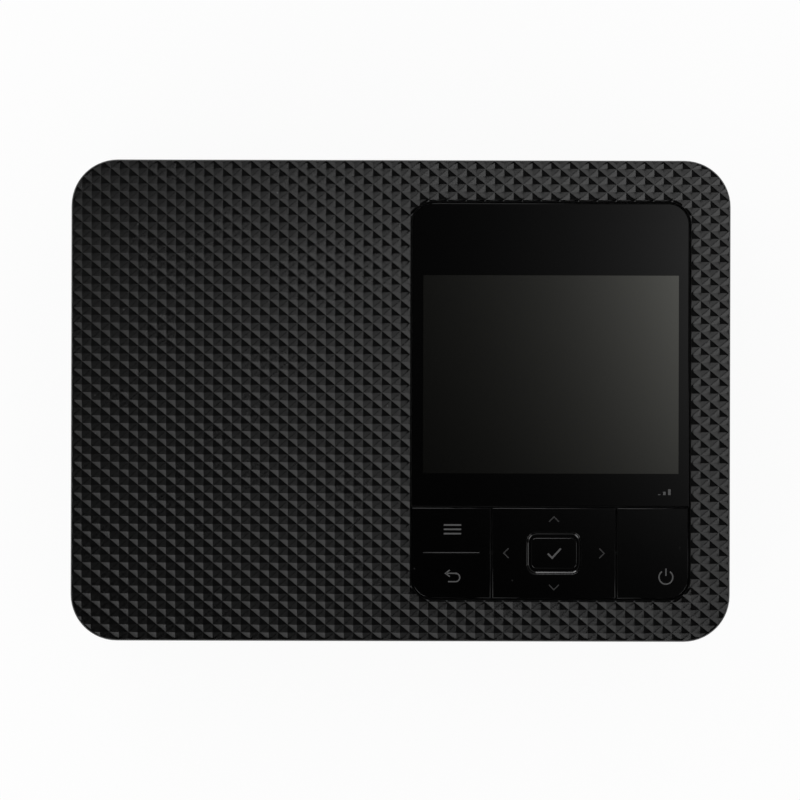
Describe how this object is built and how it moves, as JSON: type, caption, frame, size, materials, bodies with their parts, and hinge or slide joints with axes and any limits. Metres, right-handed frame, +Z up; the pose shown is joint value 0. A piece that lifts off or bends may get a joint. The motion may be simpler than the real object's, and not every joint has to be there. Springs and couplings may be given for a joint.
{
  "type": "compact photo printer",
  "caption": "Flat box-shaped photo printer with a diamond-relief top, colour display and key panel, hinged paper and ribbon doors, and a working feed, ribbon and head mechanism.",
  "frame": {"origin": "centre of the footprint, on the surface that the feet stand on", "axes": "+X to the user's right, +Y to the back, +Z up"},
  "size_m": [0.1822, 0.133, 0.0576],
  "materials": {
    "casing": "fine matt black moulding",
    "feet": "soft matt rubber",
    "steel": "zinc plated",
    "inner_black": "black moulding",
    "window": "polished black",
    "display": "dark display panel",
    "keys": "glossy black",
    "white_plastic": "natural acetal",
    "circuit_board": "green solder mask",
    "switch": "moulded black",
    "flex": "amber film",
    "bronze": "sintered bronze",
    "roller_rubber": "ground rubber",
    "capstan": "knurled steel",
    "motor": "plated steel can",
    "head_metal": "extruded and pressed",
    "ceramic": "glazed ceramic",
    "ribbon": "dark dye film",
    "spool": "white plastic core with film",
    "lever": "blue moulding",
    "socket": "tinned steel"
  },
  "bodies": {
    "printer": {"top_cover": "casing", "side_casing": "casing", "base_cover": "casing", "rubber_feet": "feet", "case_screws": "steel", "small_screws": "steel", "panel_frame": "inner_black", "display_window": "window", "display_module": "display", "panel_circuit_board": "circuit_board", "tact_switches": "switch", "panel_flex_cable": "flex", "chassis_base": "steel", "left_side_plate": "steel", "right_side_plate": "steel", "paper_bay_liner": "inner_black", "rear_paper_guide": "inner_black", "shaft_bushings": "bronze", "pinch_holders": "inner_black", "idler_axle": "steel", "feed_motor": "motor", "motor_bracket": "steel", "ribbon_motor": "motor", "head_pivot_shaft": "steel", "head_springs": "steel", "main_circuit_board": "circuit_board", "board_chips": "switch", "card_socket": "socket", "usb_c_socket": "socket", "power_inlet": "switch"},
    "front_door": {"front_door": "casing"},
    "ribbon_door": {"ribbon_door": "casing"},
    "eject_lever": {"eject_lever": "lever"},
    "cassette": {"cassette_shell": "inner_black", "ribbon_film": "ribbon"},
    "supply_spool": {"supply_spool": "spool"},
    "takeup_spool": {"takeup_spool": "spool"},
    "takeup_drive": {"takeup_spindle": "white_plastic", "takeup_gear": "white_plastic"},
    "supply_spindle": {"supply_spindle": "white_plastic"},
    "ribbon_pinion": {"ribbon_motor_pinion": "bronze"},
    "capstan": {"capstan_roller": "capstan", "capstan_gear": "white_plastic"},
    "pinch_roller": {"pinch_roller": "roller_rubber"},
    "pickup": {"pickup_shaft": "steel", "pickup_rollers": "roller_rubber", "pickup_gear": "white_plastic"},
    "idler": {"idler_gear": "white_plastic"},
    "feed_pinion": {"feed_motor_pinion": "bronze"},
    "platen": {"platen_shaft": "steel", "platen_sleeve": "roller_rubber"},
    "head": {"head_bracket": "head_metal", "print_head": "ceramic", "head_heatsink": "head_metal"},
    "menu_back_key": {"menu_back_key": "keys"},
    "dpad_cradle": {"dpad_cradle": "white_plastic"},
    "dpad_key": {"dpad_key": "keys"},
    "ok_key": {"ok_key": "keys"},
    "power_key": {"power_key": "keys"}
  },
  "joints": [
    {"name": "front_door_hinge", "type": "hinge", "parent": "printer", "child": "front_door", "pos_m": [-0.011, -0.0639, 0.01], "axis": [1, 0, 0], "range_deg": [0, 90]},
    {"name": "ribbon_door_hinge", "type": "hinge", "parent": "printer", "child": "ribbon_door", "pos_m": [0.0885, 0.0225, 0.0225], "axis": [0, 1, 0], "range_deg": [0, 90]},
    {"name": "cassette_slide", "type": "slide", "parent": "printer", "child": "cassette", "axis": [1, 0, 0], "range_m": [0, 0.008]},
    {"name": "eject_lever_pivot", "type": "hinge", "parent": "printer", "child": "eject_lever", "pos_m": [0.0607, -0.01604, 0.028], "axis": [0, 0, -1], "range_deg": [0, 25]},
    {"name": "takeup_turn", "type": "hinge", "parent": "printer", "child": "takeup_drive", "pos_m": [-0.06, 0.04, 0.0372], "axis": [1, 0, 0], "continuous": true},
    {"name": "ribbon_motor_turn", "type": "hinge", "parent": "printer", "child": "ribbon_pinion", "pos_m": [-0.07, 0.04, 0.0262], "axis": [1, 0, 0], "continuous": true},
    {"name": "takeup_spool_turn", "type": "hinge", "parent": "cassette", "child": "takeup_spool", "pos_m": [-0.008, 0.04, 0.0372], "axis": [1, 0, 0], "continuous": true},
    {"name": "supply_spool_turn", "type": "hinge", "parent": "cassette", "child": "supply_spool", "pos_m": [-0.008, 0.006, 0.0372], "axis": [1, 0, 0], "continuous": true},
    {"name": "supply_spindle_turn", "type": "hinge", "parent": "printer", "child": "supply_spindle", "pos_m": [-0.06, 0.006, 0.0372], "axis": [1, 0, 0], "continuous": true},
    {"name": "capstan_turn", "type": "hinge", "parent": "printer", "child": "capstan", "pos_m": [-0.008, -0.009, 0.0222], "axis": [1, 0, 0], "continuous": true},
    {"name": "pinch_turn", "type": "hinge", "parent": "printer", "child": "pinch_roller", "pos_m": [-0.008, -0.009, 0.03], "axis": [1, 0, 0], "continuous": true},
    {"name": "pickup_turn", "type": "hinge", "parent": "printer", "child": "pickup", "pos_m": [-0.008, -0.02385, 0.03705], "axis": [1, 0, 0], "continuous": true},
    {"name": "idler_turn", "type": "hinge", "parent": "printer", "child": "idler", "pos_m": [-0.068, 0.01073, 0.015], "axis": [1, 0, 0], "continuous": true},
    {"name": "feed_motor_turn", "type": "hinge", "parent": "printer", "child": "feed_pinion", "pos_m": [-0.07, 0.01964, 0.02391], "axis": [1, 0, 0], "continuous": true},
    {"name": "platen_turn", "type": "hinge", "parent": "printer", "child": "platen", "pos_m": [-0.008, 0.023, 0.0182], "axis": [1, 0, 0], "continuous": true},
    {"name": "head_press", "type": "hinge", "parent": "printer", "child": "head", "pos_m": [-0.008, -0.008, 0.05], "axis": [1, 0, 0], "range_deg": [-4, 0], "stiffness_Nm_per_rad": 0.5, "springref_deg": 4.58},
    {"name": "menu_back_rock", "type": "hinge", "parent": "printer", "child": "menu_back_key", "pos_m": [0.0141, -0.04205, 0.0539], "axis": [1, 0, 0], "range_deg": [-1.3, 1.3], "stiffness_Nm_per_rad": 0.3},
    {"name": "dpad_tilt_front_back", "type": "hinge", "parent": "printer", "child": "dpad_cradle", "pos_m": [0.04245, -0.04205, 0.0541], "axis": [1, 0, 0], "range_deg": [-1.2, 1.2], "stiffness_Nm_per_rad": 0.3},
    {"name": "dpad_tilt_left_right", "type": "hinge", "parent": "dpad_cradle", "child": "dpad_key", "pos_m": [0.04245, -0.04205, 0.0541], "axis": [0, 1, 0], "range_deg": [-1.2, 1.2], "stiffness_Nm_per_rad": 0.3},
    {"name": "ok_press", "type": "slide", "parent": "dpad_key", "child": "ok_key", "axis": [0, 0, 1], "range_m": [-0.0005, 0], "stiffness_N_per_m": 300, "springref_m": 0.0001},
    {"name": "power_press", "type": "slide", "parent": "printer", "child": "power_key", "axis": [0, 0, 1], "range_m": [-0.0004, 0], "stiffness_N_per_m": 300, "springref_m": 0.0001}
  ],
  "couplings": [
    {"joint": "eject_lever_pivot", "follows": "cassette_slide", "rad_per_m": 54.5},
    {"joint": "ribbon_motor_turn", "follows": "takeup_turn", "ratio": -2.6667},
    {"joint": "takeup_spool_turn", "follows": "takeup_turn", "ratio": 1},
    {"joint": "supply_spool_turn", "follows": "takeup_turn", "ratio": 0.78788},
    {"joint": "supply_spindle_turn", "follows": "takeup_turn", "ratio": 0.78788},
    {"joint": "pinch_turn", "follows": "capstan_turn", "ratio": -1.1429},
    {"joint": "pickup_turn", "follows": "capstan_turn", "ratio": -1.3333},
    {"joint": "idler_turn", "follows": "capstan_turn", "ratio": -1.3333},
    {"joint": "feed_motor_turn", "follows": "capstan_turn", "ratio": 3.3333}
  ]
}
